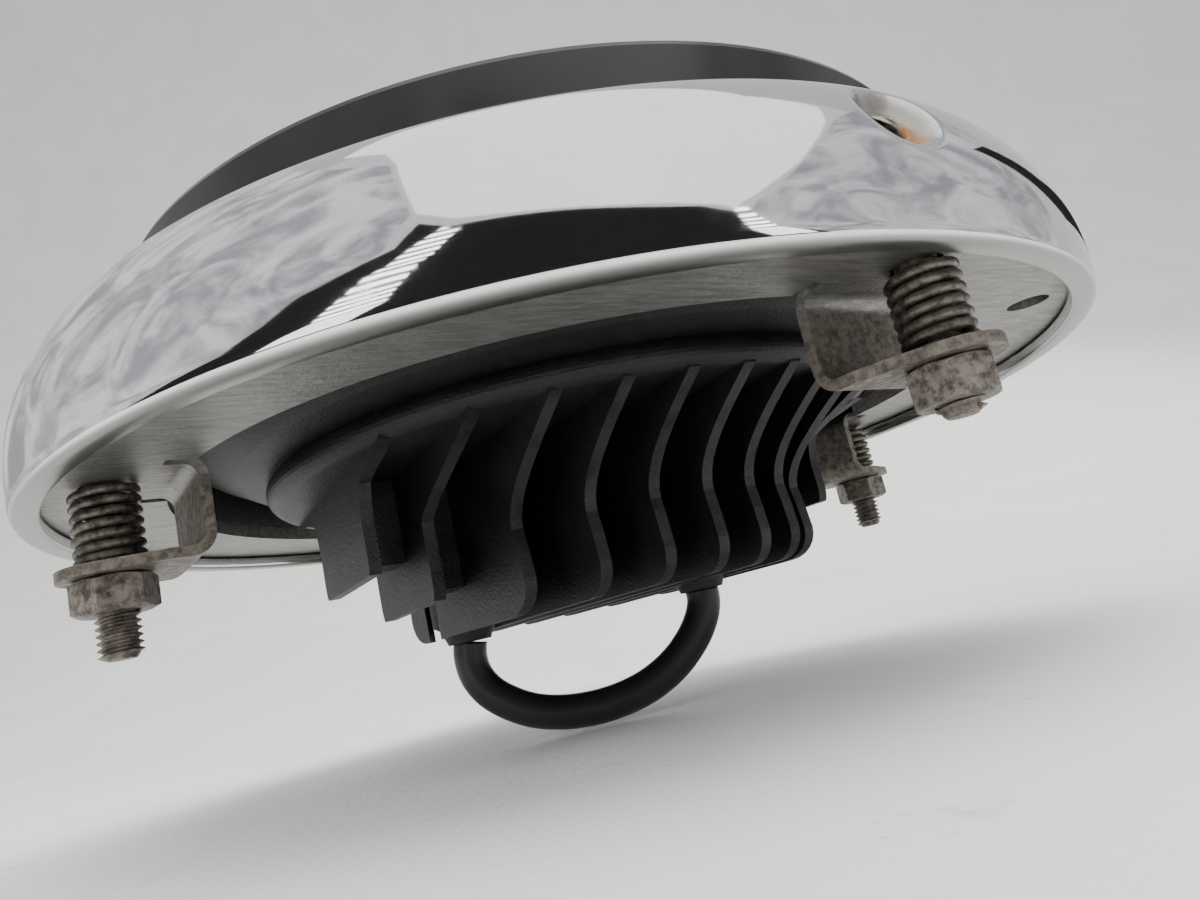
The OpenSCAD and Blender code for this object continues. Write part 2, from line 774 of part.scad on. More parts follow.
bezel();
mounting_plate();
adjuster_studs();
spring(0);  // spring_1
spring(1);  // spring_2
spring(2);  // spring_3
spring(3);  // spring_4
adjuster_nuts();
gasket();
heat_sink();
front_ring();
lens();
lens_seal();
inner_trim();
projector_lens(1);  // low_beam_lens
projector_lens(-1);  // high_beam_lens
optic_holder(1);  // low_beam_holder
optic_holder(-1);  // high_beam_holder
light_board();
light_chips();
driver_board();
driver_parts();
board_screws();
gland(gland_ends[0]);  // gland_a
gland(gland_ends[1]);  // gland_b
cord();
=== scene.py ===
# %% [markdown]
# # A motorcycle headlight in a chromed trim bezel
# The solids come in as a fixed frame, in metres. Most of them only need a finish. The bezel, the
# springs, the studs and the cord are made again here with smoother or finer shapes.

# %% Load the frame
import bpy
import bmesh
import math
from mathutils import Matrix, Vector


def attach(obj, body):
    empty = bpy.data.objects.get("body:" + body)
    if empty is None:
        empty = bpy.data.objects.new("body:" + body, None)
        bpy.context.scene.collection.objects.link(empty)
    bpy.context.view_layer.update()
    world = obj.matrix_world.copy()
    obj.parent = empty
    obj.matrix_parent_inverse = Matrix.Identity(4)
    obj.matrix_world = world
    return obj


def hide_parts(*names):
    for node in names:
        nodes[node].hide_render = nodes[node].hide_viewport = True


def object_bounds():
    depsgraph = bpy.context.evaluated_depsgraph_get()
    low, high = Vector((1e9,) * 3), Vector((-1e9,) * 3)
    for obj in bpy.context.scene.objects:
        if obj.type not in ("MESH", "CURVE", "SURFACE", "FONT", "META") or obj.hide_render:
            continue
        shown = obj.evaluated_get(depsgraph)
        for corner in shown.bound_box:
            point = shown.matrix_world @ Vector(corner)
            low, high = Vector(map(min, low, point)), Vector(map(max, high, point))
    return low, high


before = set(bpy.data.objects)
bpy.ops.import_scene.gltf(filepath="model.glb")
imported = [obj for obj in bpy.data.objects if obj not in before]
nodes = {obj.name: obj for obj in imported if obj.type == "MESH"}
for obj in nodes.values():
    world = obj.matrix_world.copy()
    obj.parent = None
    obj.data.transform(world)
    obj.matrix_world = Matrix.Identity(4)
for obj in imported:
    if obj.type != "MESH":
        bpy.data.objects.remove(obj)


def plain(box):
    return [[round(float(v), 5) for v in corner] for corner in box]


cad_box = plain(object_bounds())
MM = 0.001
print("nodes", len(nodes), "box", cad_box)

# %% [markdown]
# ## The camera
# The lens stands low and close beside the lamp and looks slightly up under the rim, turned about
# its own axis, because the lamp leans on its side. The three directions are written out, so the
# picture keeps the lean without the lamp being turned.

# %% Camera
right = Vector((0.85673, -0.46797, -0.21690))
down = Vector((-0.09092, 0.27693, -0.95658))
ahead = Vector((0.50772, 0.83925, 0.19470))
spot = Vector((-85.87, -151.77, -32.84)) * MM
eye = bpy.data.cameras.new("eye")
eye.sensor_width = 36
eye.lens = 26.968
eye.clip_start = 0.005
camera = bpy.data.objects.new("camera", eye)
turn = Matrix((right, -down, -ahead)).transposed().to_4x4()
camera.matrix_world = Matrix.Translation(spot) @ turn
bpy.context.scene.collection.objects.link(camera)
bpy.context.scene.camera = camera
print("camera", [round(v, 4) for v in spot])

# %% [markdown]
# ## The cord
# A round lead leaves one rubber gland, sags under the fins and goes back in at the other. A curve
# with a round section is the simplest way to sweep it. The curve is then made a mesh and its ends
# are closed, because a curve's own box is padded and would make the lamp look too big. The points
# are those of the solid's route, worked out with the same spline, so it lies where the solid lies.

# %% Cord
ROUTE = [(-27.5, -29), (-28, -32), (-27.5, -35.5), (-25.5, -39), (-22, -42), (-17.5, -44.4),
         (-12, -45.8), (-6, -46.2), (0, -45.6), (5.5, -44), (10.5, -41.3), (14.5, -37.8),
         (17, -34.5), (18.3, -31.5), (18.5, -29)]
LOOP_TURN = math.radians(-29.5)
LOOP_BACK = 3
CORD_D = 6.5
POINTS_PER_STEP = 4
CAP_SIDES = 5


def spline(a, b, c, d, u):
    return 0.5 * (2 * b + (c - a) * u + (2 * a - 5 * b + 4 * c - d) * u * u
                  + (3 * b - a - 3 * c + d) * u ** 3)


def route_points(steps):
    rows = [Vector((x, LOOP_BACK, z)) for x, z in ROUTE]
    last = len(rows) - 1
    out = []
    for i in range(last):
        a, b, c, d = (rows[max(0, min(last, i + k))] for k in (-1, 0, 1, 2))
        out += [spline(a, b, c, d, k / steps) for k in range(steps)]
    out.append(rows[-1])
    spin = Matrix.Rotation(LOOP_TURN, 3, "Z")
    return [spin @ p * MM for p in out]


way = route_points(POINTS_PER_STEP)
cord_line = bpy.data.curves.new("cord_line", "CURVE")
cord_line.dimensions = "3D"
cord_line.bevel_depth = CORD_D / 2 * MM
cord_line.bevel_resolution = 8
cord_line.use_fill_caps = True
cord_line.twist_mode = "MINIMUM"
thread = cord_line.splines.new("POLY")
thread.points.add(len(way) - 1)
for spline_point, p in zip(thread.points, way):
    spline_point.co = (*p, 1)
thread.use_smooth = True
swept = bpy.data.objects.new("swept", cord_line)
bpy.context.scene.collection.objects.link(swept)
bpy.context.view_layer.update()
drawn = bmesh.new()
drawn.from_mesh(bpy.data.meshes.new_from_object(swept))
bmesh.ops.remove_doubles(drawn, verts=drawn.verts, dist=1e-6)
bmesh.ops.recalc_face_normals(drawn, faces=drawn.faces)
for face in drawn.faces:
    face.smooth = len(face.verts) < CAP_SIDES
tube = bpy.data.meshes.new("cord_loop")
drawn.to_mesh(tube)
drawn.free()
bpy.data.objects.remove(swept)
cord = bpy.data.objects.new("cord_loop", tube)
bpy.context.scene.collection.objects.link(cord)
cord_length = sum((b - a).length for a, b in zip(way, way[1:]))
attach(cord, "root")
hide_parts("cord")
print("cord length", round(cord_length, 4))

# %% [markdown]
# ## A small hand for shader maths
# A finish is a sum of masks. Wrapping a socket in a class lets the masks be written as plain
# arithmetic, and every other node comes from one method.


# %% Sockets as numbers
class Wire:
    def __init__(self, tree, socket):
        self.tree, self.socket = tree, socket

    def node(self, kind, settings=None, out=0, stops=None, **values):
        made = self.tree.nodes.new("ShaderNode" + kind)
        for key, value in (settings or {}).items():
            setattr(made, key, value)
        if stops:
            ramp = made.color_ramp.elements
            while len(ramp) < len(stops):
                ramp.new(0.5)
            for element, (place, shade) in zip(ramp, stops):
                element.position = place
                element.color = (*shade, 1)
        for key, value in values.items():
            place = int(key[1:]) if key[1:].isdigit() else key.replace("_", " ")
            if isinstance(value, Wire):
                self.tree.links.new(value.socket, made.inputs[place])
            else:
                made.inputs[place].default_value = value
        return Wire(self.tree, made.outputs[out])

    def math(self, operation, a, b=0.0):
        return self.node("Math", {"operation": operation}, i0=a, i1=b)

    def __add__(self, other):
        return self.math("ADD", self, other)

    __radd__ = __add__

    def __mul__(self, other):
        return self.math("MULTIPLY", self, other)

    __rmul__ = __mul__

    def __sub__(self, other):
        return self.math("SUBTRACT", self, other)

    def __rsub__(self, other):
        return self.math("SUBTRACT", other, self)

    def step(self, low, high):
        return self.node("MapRange", {"interpolation_type": "SMOOTHSTEP"},
                         i0=self, i1=low, i2=high, i3=0.0, i4=1.0)

    def mix(self, a, b):
        return self.node("Mix", {"data_type": "RGBA"}, out=2, i0=self, i6=a, i7=b)


print("socket helper ready")


# %% [markdown]
# ## One way to start every finish
# Each material begins with the same parts: the place on the object, a fine and a coarse noise, and
# the shader. What is the same all over goes straight on the shader's own sockets.


# %% Starting a finish
class Finish:
    def __init__(self, name, **fixed):
        self.material = bpy.data.materials.new(name)
        self.material.use_nodes = True
        tree = self.material.node_tree
        self.shader = tree.nodes["Principled BSDF"]
        for key, value in fixed.items():
            self.shader.inputs[key.replace("_", " ")].default_value = value
        where = tree.nodes.new("ShaderNodeTexCoord")
        self.at = Wire(tree, where.outputs["Object"])
        self.tree = tree

    def noise(self, scale, detail=4.0, rough=0.6, at=None):
        return self.at.node("TexNoise", Vector=at or self.at, Scale=scale,
                            Detail=detail, Roughness=rough)

    def stretched(self, factors):
        return self.at.node("Mapping", Vector=self.at, Scale=factors)

    def part(self, index, at=None):
        return self.at.node("SeparateXYZ", out=index, Vector=at or self.at)

    def distance(self, point):
        return self.at.node("VectorMath", {"operation": "DISTANCE"}, out=1, i0=self.at, i1=point)

    def put(self, socket, wire):
        self.tree.links.new(wire.socket, self.shader.inputs[socket])

    def bump(self, height, strength, depth):
        self.put("Normal", self.at.node("Bump", Height=height, Strength=strength, Distance=depth))


def dress(piece, finish):
    piece.data.materials.clear()
    piece.data.materials.append(finish.material)


print("finish helper ready")

# %% [markdown]
# ## Chrome
# Plated steel is a mirror with faint waves from pressing. The rolled rear rim is scuffed to a
# satin. The screw dimple has gone dull and warm, and rust has started along its lower side, where
# water collects.

# %% Chrome
SEAT_Z = 17.5
SEAT = Vector((0, -91.54, SEAT_Z)) * MM
RUST_SPOT = SEAT + Vector((0.9, 1.0, -2.4)) * MM
RIM_FADE, DULL_FADE, RUST_FADE = (0.0002, 0.0009), (0.0046, 0.0066), (0.0020, 0.0040)
PLATING, PLATING_DIM = (0.86, 0.87, 0.89, 1), (0.78, 0.79, 0.81, 1)
WARM_GREY, SCUFFED = (0.34, 0.31, 0.26, 1), (0.27, 0.27, 0.26, 1)
ORANGE_RUST = (0.26, 0.11, 0.03, 1)
chrome = Finish("chrome", Metallic=1.0)
grime = chrome.noise(260.0, 6.0)
blotch = chrome.noise(38.0, 5.0, 0.7)
height_z = chrome.part(2)
rim = 1 - height_z.step(*RIM_FADE)
uneven = (chrome.noise(420.0, 6.0, 0.7) - 0.5) * 0.0035
dull = 1 - (chrome.distance(SEAT) + uneven * 0.4).step(*DULL_FADE)
rust = 1 - (chrome.distance(RUST_SPOT) + uneven).step(*RUST_FADE)
clean = blotch.step(0.35, 0.75).mix(PLATING, PLATING_DIM)
warm = (dull * 0.85).mix(clean, WARM_GREY)
rim_tint = rim.mix(warm, SCUFFED)
chrome.put("Base Color", (rust * 0.9).mix(rim_tint, ORANGE_RUST))
chrome.put("Roughness", 0.045 + grime.step(0.5, 0.8) * 0.05 + rim * 0.3 + dull * 0.22
           + rust * 0.3)
chrome.put("Metallic", 1 - rust * 0.8)
chrome.bump(chrome.noise(22.0, 2.0) + grime * 0.02, 0.12, 0.0012)
print("chrome ready")

# %% [markdown]
# ## Dirty zinc
# The folded plate and the hardware have lost their shine. Corrosion pits the surface in scales
# about a millimetre across, brown in the pits and grey where handling has kept it clean, with a
# little orange where water sat. The flat of the plate keeps its brushed lines. Above the flat the
# plate is sheltered, and what the light finds there is nearly bright.

# %% Zinc finishes
FLAT_FADE, SHELTER_FADE = (0.0008, 0.0016), (0.0045, 0.0065)
BRUSHED_ALONG_X = (1.0, 7.0, 7.0)
BROWN_RUST = (0.20, 0.075, 0.025, 1)


def zinc(name, light, dark, rust_amount, rough, bright=0.0, clean=None):
    coat = Finish(name, Metallic=0.75)
    bloom = coat.noise(150.0, 8.0, 0.75)
    scale = coat.noise(750.0, 5.0, 0.7)
    pits = (scale * 0.6 + bloom * 0.4).step(0.38, 0.60)
    rusty = bloom.step(0.60, 0.72) * rust_amount
    base = pits.mix(dark, light)
    depth = 1 - pits * 0.5
    if clean:
        flat = coat.part(2).step(*FLAT_FADE)
        brushed = coat.noise(160.0, 6.0, 0.7, coat.stretched(BRUSHED_ALONG_X))
        kept = brushed.step(0.35, 0.65).mix(clean, tuple(v * 0.62 for v in clean[:3]) + (1,))
        base = flat.mix(base, kept)
        rusty = rusty * (1 - flat * 0.8)
        depth = depth * (1 - flat * 0.75)
    coat.put("Base Color", rusty.mix(base, BROWN_RUST))
    shelter = coat.part(2).step(*SHELTER_FADE) * bright
    coat.put("Roughness", (rough + bloom * 0.25 + depth * 0.12) * (1 - shelter * 0.8))
    coat.put("Metallic", 0.9 - rusty * 0.7 - depth * 0.35 * (1 - shelter))
    coat.bump(scale + bloom * 0.8, 0.55, 0.00035)
    return coat


# The flat of the plate has stayed a clean satin grey and its folded parts have not.
plate_zinc = zinc("plate_zinc", (0.24, 0.215, 0.185, 1), (0.075, 0.062, 0.05, 1), 0.4, 0.3, 1.0,
                  (0.30, 0.295, 0.28, 1))
fastener = zinc("fastener_steel", (0.27, 0.245, 0.21, 1), (0.055, 0.045, 0.037, 1), 0.45, 0.3)
spring_finish = zinc("spring_steel", (0.17, 0.16, 0.13, 1), (0.022, 0.019, 0.015, 1), 0.5, 0.2)
screw_finish = zinc("screw_steel", (0.70, 0.70, 0.72, 1), (0.52, 0.52, 0.54, 1), 0.0, 0.2)
print("zinc finishes ready")

# %% [markdown]
# ## Powder-coated casting
# The coat is black with a fine grain. The narrow edges of the fins carry a painted highlight, a
# patchy dark grey where the light catches them.
# Those faces are the ones below the base that do not face along X, so the surface's own direction
# finds them.

# %% Black casting
BELOW_BASE, EDGE_ON = (-0.0015, 0.0), (0.35, 0.7)
COAT_BLACK, COAT_GREY = (0.004, 0.004, 0.0045, 1), (0.009, 0.009, 0.010, 1)
# The edge grey is a painted highlight for the fin edges, not a colour of the coat.
FIN_EDGE_HIGHLIGHT = (0.030, 0.029, 0.029, 1)
casting = Finish("black_casting", Specular_IOR_Level=0.35)
facing = casting.at.node("NewGeometry", out=1)
sideways = casting.at.math("ABSOLUTE", casting.part(0, facing))
low = 1 - casting.part(2).step(*BELOW_BASE)
patchy = casting.noise(120.0, 6.0, 0.7)
# Mask of the painted highlight: patches on the fin edges below the base.
edge = (1 - sideways.step(*EDGE_ON)) * low * patchy.step(0.3, 0.6)
tone = patchy.step(0.35, 0.7).mix(COAT_BLACK, COAT_GREY)
casting.put("Base Color", (edge * 0.8).mix(tone, FIN_EDGE_HIGHLIGHT))
casting.put("Roughness", 0.42 + patchy * 0.18)
casting.bump(casting.noise(1800.0, 2.0) + patchy * 0.5, 0.55, 0.00025)
print("casting ready")


# %% [markdown]
# ## Plain black parts
# Ring, trim, rubber and cord differ mostly in how wide their highlight is and how fine their grain
# is, so one maker serves them all.


# %% Black parts
def black(name, shade, rough, grain, depth, spread=0.4):
    coat = Finish(name)
    drift = coat.noise(70.0, 5.0)
    pale = tuple(min(1.0, v * (1 + spread)) for v in shade[:3]) + (1,)
    coat.put("Base Color", drift.step(0.3, 0.75).mix(shade, pale))
    coat.put("Roughness", rough + drift * 0.12)
    coat.bump(coat.noise(grain, 3.0), 0.2, depth)
    return coat


ring_finish = black("black_ring", (0.009, 0.009, 0.010, 1), 0.17, 500.0, 0.00005)
trim_finish = black("black_trim", (0.014, 0.014, 0.016, 1), 0.3, 800.0, 0.00005)
rubber = black("rubber", (0.018, 0.018, 0.018, 1), 0.6, 1200.0, 0.0001)
sheath = black("cord_sheath", (0.010, 0.010, 0.011, 1), 0.33, 700.0, 0.00005)
part_finish = black("component_plastic", (0.03, 0.03, 0.035, 1), 0.4, 900.0, 0.00004)
board_white = black("board_white", (0.78, 0.79, 0.78, 1), 0.35, 1500.0, 0.00002, 0.06)
board_green = black("board_green", (0.02, 0.13, 0.05, 1), 0.3, 1500.0, 0.00003)
chip_finish = black("chip_yellow", (0.75, 0.62, 0.12, 1), 0.4, 1500.0, 0.00002, 0.1)
bare_metal = black("bare_aluminium", (0.66, 0.67, 0.69, 1), 0.28, 900.0, 0.00003, 0.1)
bare_metal.shader.inputs["Metallic"].default_value = 1.0
print("plain finishes ready")


# %% [markdown]
# ## Clear lens and optics
# Moulded clear plastic lets light through. Faint unevenness on its face keeps the highlight from
# looking computed.


# %% Clear parts
def clear(name, tint, rough):
    coat = Finish(name, Transmission_Weight=1.0, IOR=1.5)
    haze = coat.noise(90.0, 4.0)
    coat.put("Base Color", haze.mix(tint, (1, 1, 1, 1)))
    coat.put("Roughness", rough + haze.step(0.5, 0.8) * 0.03)
    coat.bump(haze, 0.05, 0.0002)
    return coat


lens_finish = clear("clear_lens", (0.93, 0.96, 0.97, 1), 0.03)
optic_finish = clear("optic_glass", (0.90, 0.95, 1.0, 1), 0.01)
print("clear finishes ready")

# %% [markdown]
# ## Dressing the solids that stay
# These nodes already have the right shape, so each only gets its finish.

# %% Finishes onto nodes
KEPT = {"mounting_plate": plate_zinc, "adjuster_nuts": fastener, "gasket": rubber,
        "heat_sink": casting, "front_ring": ring_finish, "lens": lens_finish,
        "lens_seal": rubber, "inner_trim": trim_finish, "low_beam_lens": optic_finish,
        "high_beam_lens": optic_finish, "low_beam_holder": bare_metal,
        "high_beam_holder": bare_metal, "light_board": board_white, "light_chips": chip_finish,
        "driver_board": board_green, "driver_parts": part_finish, "board_screws": screw_finish,
        "gland_a": rubber, "gland_b": rubber}
for name, finish in KEPT.items():
    dress(nodes[name], finish)
dress(cord, sheath)
print("dressed", len(KEPT), "nodes")


# %% [markdown]
# ## Turning a profile
# Round pressings are made by spinning one closed outline about the axis. Two arcs are used for the
# bezel: a fine one where the screw dimple goes and a coarser one for the rest.


# %% Spinning helpers
def add_outline(bm, points):
    verts = [bm.verts.new((r * MM, 0, z * MM)) for r, z in points]
    return verts, [bm.edges.new((a, b)) for a, b in zip(verts, verts[1:] + verts[:1])]


def to_object(bm, name, node, finish, smooth=True):
    bmesh.ops.remove_doubles(bm, verts=bm.verts, dist=1e-7)
    bmesh.ops.recalc_face_normals(bm, faces=bm.faces)
    for face in bm.faces:
        face.smooth = smooth
    mesh = bpy.data.meshes.new(name)
    bm.to_mesh(mesh)
    bm.free()
    piece = bpy.data.objects.new(name, mesh)
    bpy.context.scene.collection.objects.link(piece)
    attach(piece, "root")
    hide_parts(node)
    dress(piece, finish)
    print(name, "triangles", sum(len(p.vertices) - 2 for p in mesh.polygons))


# %% [markdown]
# ## The bezel
# Flats show at once in a mirror, so the outline has many more points here than in the solid. Its
# outer and inner faces are quarter ovals, and the rear edge is folded in as a thick hem.

# %% Bezel outline
BEZEL_R, BEZEL_H, CROWN_R, BELLY_Z = 94.2, 27.0, 79.2, 5.0
SHEET, RIM_R, HEM_W, HEM_H = 1.2, 93.0, 2.8, 2.6
OPENING_R, ROLL_H, LIP_Z = 76.4, 5.0, 19.6
HEM_R = RIM_R - HEM_W
HEM_CUT, HEM_EASE = 0.6, 0.18
RIM_FALL = ((0.03, 3.4), (0.1, 2.0), (0.22, 1.0), (0.5, 0.4))


def oval(centre_r, centre_z, wide, high, first, last, count):
    turns = [math.radians(first + (last - first) * i / count) for i in range(count + 1)]
    return [(centre_r + wide * math.cos(a), centre_z + high * math.sin(a)) for a in turns]


belly_w, belly_h = BEZEL_R - CROWN_R, BEZEL_H - BELLY_Z
roll_w = CROWN_R - OPENING_R
outside = ([(OPENING_R, LIP_Z)]
           + oval(CROWN_R, BEZEL_H - ROLL_H, roll_w, ROLL_H, 180, 92, 10)
           + oval(CROWN_R, BELLY_Z, belly_w, belly_h, 90, 0, 90)
           + [(BEZEL_R - inwards, z) for inwards, z in RIM_FALL]
           + [(RIM_R + 0.2, 0.08), (RIM_R - HEM_CUT, 0)])
inside = ([(HEM_R + HEM_CUT, 0), (HEM_R + HEM_EASE, HEM_EASE), (HEM_R, HEM_CUT),
           (HEM_R, HEM_H - HEM_CUT), (HEM_R + HEM_EASE, HEM_H - HEM_EASE),
           (HEM_R + HEM_CUT, HEM_H), (BEZEL_R - SHEET, HEM_H)]
          + oval(CROWN_R, BELLY_Z, belly_w - SHEET, belly_h - SHEET, 0, 90, 60)
          + oval(CROWN_R, BEZEL_H - ROLL_H, roll_w - SHEET, ROLL_H - SHEET, 98, 180, 8)
          + [(OPENING_R + SHEET, LIP_Z)])
print("outline points", len(outside) + len(inside))

# %% [markdown]
# ## The screw dimple
# The screw's seat is pressed into the spun sheet from outside. The points near the screw's axis move
# inwards along it, most in the middle and less further out, and the hole's two edges are joined.

# %% Bezel
SCREW_TURN, FINE = -90, 9
FINE_STEPS, COARSE_STEPS = 48, 342
bm = bmesh.new()
for start, arc, steps in ((SCREW_TURN - FINE, 2 * FINE, FINE_STEPS),
                          (SCREW_TURN + FINE, 360 - 2 * FINE, COARSE_STEPS)):
    verts, edges = add_outline(bm, outside + inside)
    bmesh.ops.rotate(bm, verts=verts, cent=(0, 0, 0),
                     matrix=Matrix.Rotation(math.radians(start), 3, "Z"))
    bmesh.ops.spin(bm, geom=verts + edges, cent=(0, 0, 0), axis=(0, 0, 1), dvec=(0, 0, 0),
                   angle=math.radians(arc), steps=steps, use_merge=False, use_duplicate=False)
bmesh.ops.remove_doubles(bm, verts=bm.verts, dist=2e-6)

seat_turn = math.asin((SEAT_Z - BELLY_Z) / belly_h)
tilt = math.atan2(belly_w * math.sin(seat_turn), belly_h * math.cos(seat_turn))
seat_out = Vector((0, -math.cos(tilt), math.sin(tilt)))
seat_at = Vector((0, -(CROWN_R + belly_w * math.cos(seat_turn)), SEAT_Z)) * MM
HOLE_R, LAND_R, DISH_R, DISH_H = 2.6, 2.9, 6.6, 2.0
NEAR_SHEET = 4


def off_axis(point):
    away = point - seat_at
    return (away - away.dot(seat_out) * seat_out).length / MM, away.dot(seat_out) / MM


def over_hole(face):
    near, depth = off_axis(face.calc_center_median())
    return near < HOLE_R and abs(depth) < NEAR_SHEET


doomed = [face for face in bm.faces if over_hole(face)]
bmesh.ops.delete(bm, geom=doomed, context="FACES")
border = [e for e in bm.edges if e.is_boundary]
for vert in {v for e in border for v in e.verts}:
    away = vert.co - seat_at
    deep = away.dot(seat_out) * seat_out
    flat = away - deep
    vert.co = seat_at + deep + flat.normalized() * HOLE_R * MM
for vert in bm.verts:
    near, depth = off_axis(vert.co)
    if near < DISH_R and abs(depth) < NEAR_SHEET:
        u = min(1, max(0, (near - LAND_R) / (DISH_R - LAND_R)))
        press = 0.5 + 0.5 * math.cos(math.pi * u)
        vert.co -= seat_out * DISH_H * press * MM
bmesh.ops.bridge_loops(bm, edges=border)
to_object(bm, "chrome_bezel", "bezel", chrome)

# %% [markdown]
# ## Springs
# A spring is a wire wound on a drum. Spinning a small circle while it climbs gives the helix, in
# three stretches: a closed turn at each end, and an open one between them.

# %% Springs
STUD_R, FIRST_STUD, SPRING_D, WIRE, TURNS, CLOSED = 82.3, 5.5, 9.6, 1.4, 6.5, 0.75
ARM_TOP, ARM_GAP, END_GAP = -8.9, 11.7, 0.1
SPAN = ARM_GAP - WIRE - 2 * END_GAP
WIRE_SIDES, SPRING_STEPS = 10, 32


def wind(bm, ring, turns, climb):
    done = bmesh.ops.spin(bm, geom=ring, cent=(0, 0, 0), axis=(0, 0, 1),
                          dvec=(0, 0, climb * MM / (turns * SPRING_STEPS)),
                          angle=math.tau * turns, steps=int(turns * SPRING_STEPS),
                          use_merge=False, use_duplicate=False)
    return done["geom_last"]


for index in range(4):
    bm = bmesh.new()
    ring = bmesh.ops.create_circle(bm, segments=WIRE_SIDES, radius=WIRE / 2 * MM,
                                   cap_ends=False)["verts"]
    bmesh.ops.rotate(bm, verts=ring, cent=(0, 0, 0), matrix=Matrix.Rotation(math.pi / 2, 3, "X"))
    bmesh.ops.translate(bm, verts=ring, vec=((SPRING_D - WIRE) / 2 * MM, 0, 0))
    loop = list(bm.verts) + list(bm.edges)
    loop = wind(bm, loop, CLOSED, CLOSED * WIRE)
    loop = wind(bm, loop, TURNS - 2 * CLOSED, SPAN - 2 * CLOSED * WIRE)
    loop = wind(bm, loop, CLOSED, CLOSED * WIRE)
    bmesh.ops.holes_fill(bm, edges=[e for e in bm.edges if e.is_boundary], sides=WIRE_SIDES + 2)
    place = (Matrix.Rotation(math.radians(FIRST_STUD + 90 * index), 4, "Z")
             @ Matrix.Translation(Vector((STUD_R, 0, ARM_TOP + END_GAP + WIRE / 2)) * MM))
    bmesh.ops.transform(bm, matrix=place, verts=bm.verts)
    to_object(bm, "spring_wire_%d" % (index + 1), "spring_%d" % (index + 1),
              spring_finish)

# %% [markdown]
# ## Threaded studs
# The solid has a plain shank. Here a slimmer core carries a ridge wound round it, so that the
# crests reach the solid's own radius and no further. One stud is screwed in nearly flush with its
# nut, so its tail is short.

# %% Studs
PLATE_TOP, PITCH = 4.3, 1.0
STUD_ENDS = (-22.0, -22.0, -22.0, -17.2)
TIP_R, CORE_R, TIP_CUT = 1.9, 2.35, 0.5
HEAD = ((5.5, 0.05), (5.2, 1.2), (4.7, 2.05), (0, 2.05))
RIDGE = ((2.2, -0.47), (3.0, -0.05), (3.0, 0.05), (2.2, 0.47))
RIDGE_START, RIDGE_STOP = 0.6, 1.2
STUD_STEPS, RIDGE_STEPS = 32, 24
bm = bmesh.new()
for index, stud_end in enumerate(STUD_ENDS):
    part = bmesh.new()
    rows = [(0, stud_end), (TIP_R, stud_end), (CORE_R, stud_end + TIP_CUT),
            (CORE_R, PLATE_TOP + HEAD[0][1])]
    rows += [(r, PLATE_TOP + z) for r, z in HEAD]
    line = [part.verts.new((r * MM, 0, z * MM)) for r, z in rows]
    links = [part.edges.new(pair) for pair in zip(line, line[1:])]
    bmesh.ops.spin(part, geom=line + links, cent=(0, 0, 0), axis=(0, 0, 1), dvec=(0, 0, 0),
                   angle=math.tau, steps=STUD_STEPS, use_merge=True, use_duplicate=False)
    bmesh.ops.remove_doubles(part, verts=part.verts, dist=1e-7)
    corners = [part.verts.new((r * MM, 0, (stud_end + RIDGE_START + z) * MM)) for r, z in RIDGE]
    sides = [part.edges.new(pair) for pair in zip(corners, corners[1:] + corners[:1])]
    climb = PLATE_TOP - RIDGE_STOP - stud_end
    count = int(climb / PITCH * RIDGE_STEPS)
    bmesh.ops.spin(part, geom=corners + sides, cent=(0, 0, 0), axis=(0, 0, 1),
                   dvec=(0, 0, PITCH / RIDGE_STEPS * MM), angle=math.tau * count / RIDGE_STEPS,
                   steps=count, use_merge=False, use_duplicate=False)
    bmesh.ops.holes_fill(part, edges=[e for e in part.edges if e.is_boundary], sides=6)
    place = (Matrix.Rotation(math.radians(FIRST_STUD + 90 * index), 4, "Z")
             @ Matrix.Translation((STUD_R * MM, 0, 0)))
    bmesh.ops.transform(part, matrix=place, verts=part.verts)
    carried = bpy.data.meshes.new("carried")
    part.to_mesh(carried)
    part.free()
    bm.from_mesh(carried)
    bpy.data.meshes.remove(carried)
to_object(bm, "threaded_studs", "adjuster_studs", fastener, False)

# %% [markdown]
# ## Floor and backdrop
# The lamp stands over a pale floor that bends up into a pale wall, so that no corner shows. One line
# is drawn from the front of the floor to the top of the wall and pushed sideways.

# %% Floor and wall
floor_finish = Finish("pale_table", Roughness=0.55)
TABLE, TABLE_DIM, SPECK = (0.84, 0.83, 0.81, 1), (0.79, 0.78, 0.76, 1), (0.35, 0.33, 0.31, 1)
mottle = floor_finish.noise(9.0, 5.0)
patches = floor_finish.noise(22.0, 3.0).step(0.56, 0.66)
dots = floor_finish.noise(230.0, 5.0).step(0.56, 0.66)
speck = patches * dots
cloth = mottle.step(0.3, 0.7).mix(TABLE, TABLE_DIM)
floor_finish.put("Base Color", (speck * 0.35).mix(cloth, SPECK))
fine_grain = floor_finish.noise(700.0, 3.0)
coarse_grain = floor_finish.noise(260.0, 2.0)
floor_finish.bump(fine_grain + coarse_grain * 0.5, 0.4, 0.0004)
FLOOR_GAP = 0.0006
FLOOR_Z = round(cad_box[0][2], 4) - FLOOR_GAP
SWEEP_X, SWEEP_Y, SWEEP_R, WALL_Z, SWEEP_TURN = 30, 0.25, 1.6, 9, -31
BEND_STEP = 3
bm = bmesh.new()
line = [(-SWEEP_X, FLOOR_Z), (SWEEP_Y, FLOOR_Z)]
for turned in range(BEND_STEP, 91, BEND_STEP):
    a = math.radians(turned)
    line.append((SWEEP_Y + SWEEP_R * math.sin(a), FLOOR_Z + SWEEP_R * (1 - math.cos(a))))
line.append((SWEEP_Y + SWEEP_R, WALL_Z))
chain = [bm.verts.new((-SWEEP_X, y, z)) for y, z in line]
rail = [bm.edges.new(pair) for pair in zip(chain, chain[1:])]
pushed = bmesh.ops.extrude_edge_only(bm, edges=rail)["geom"]
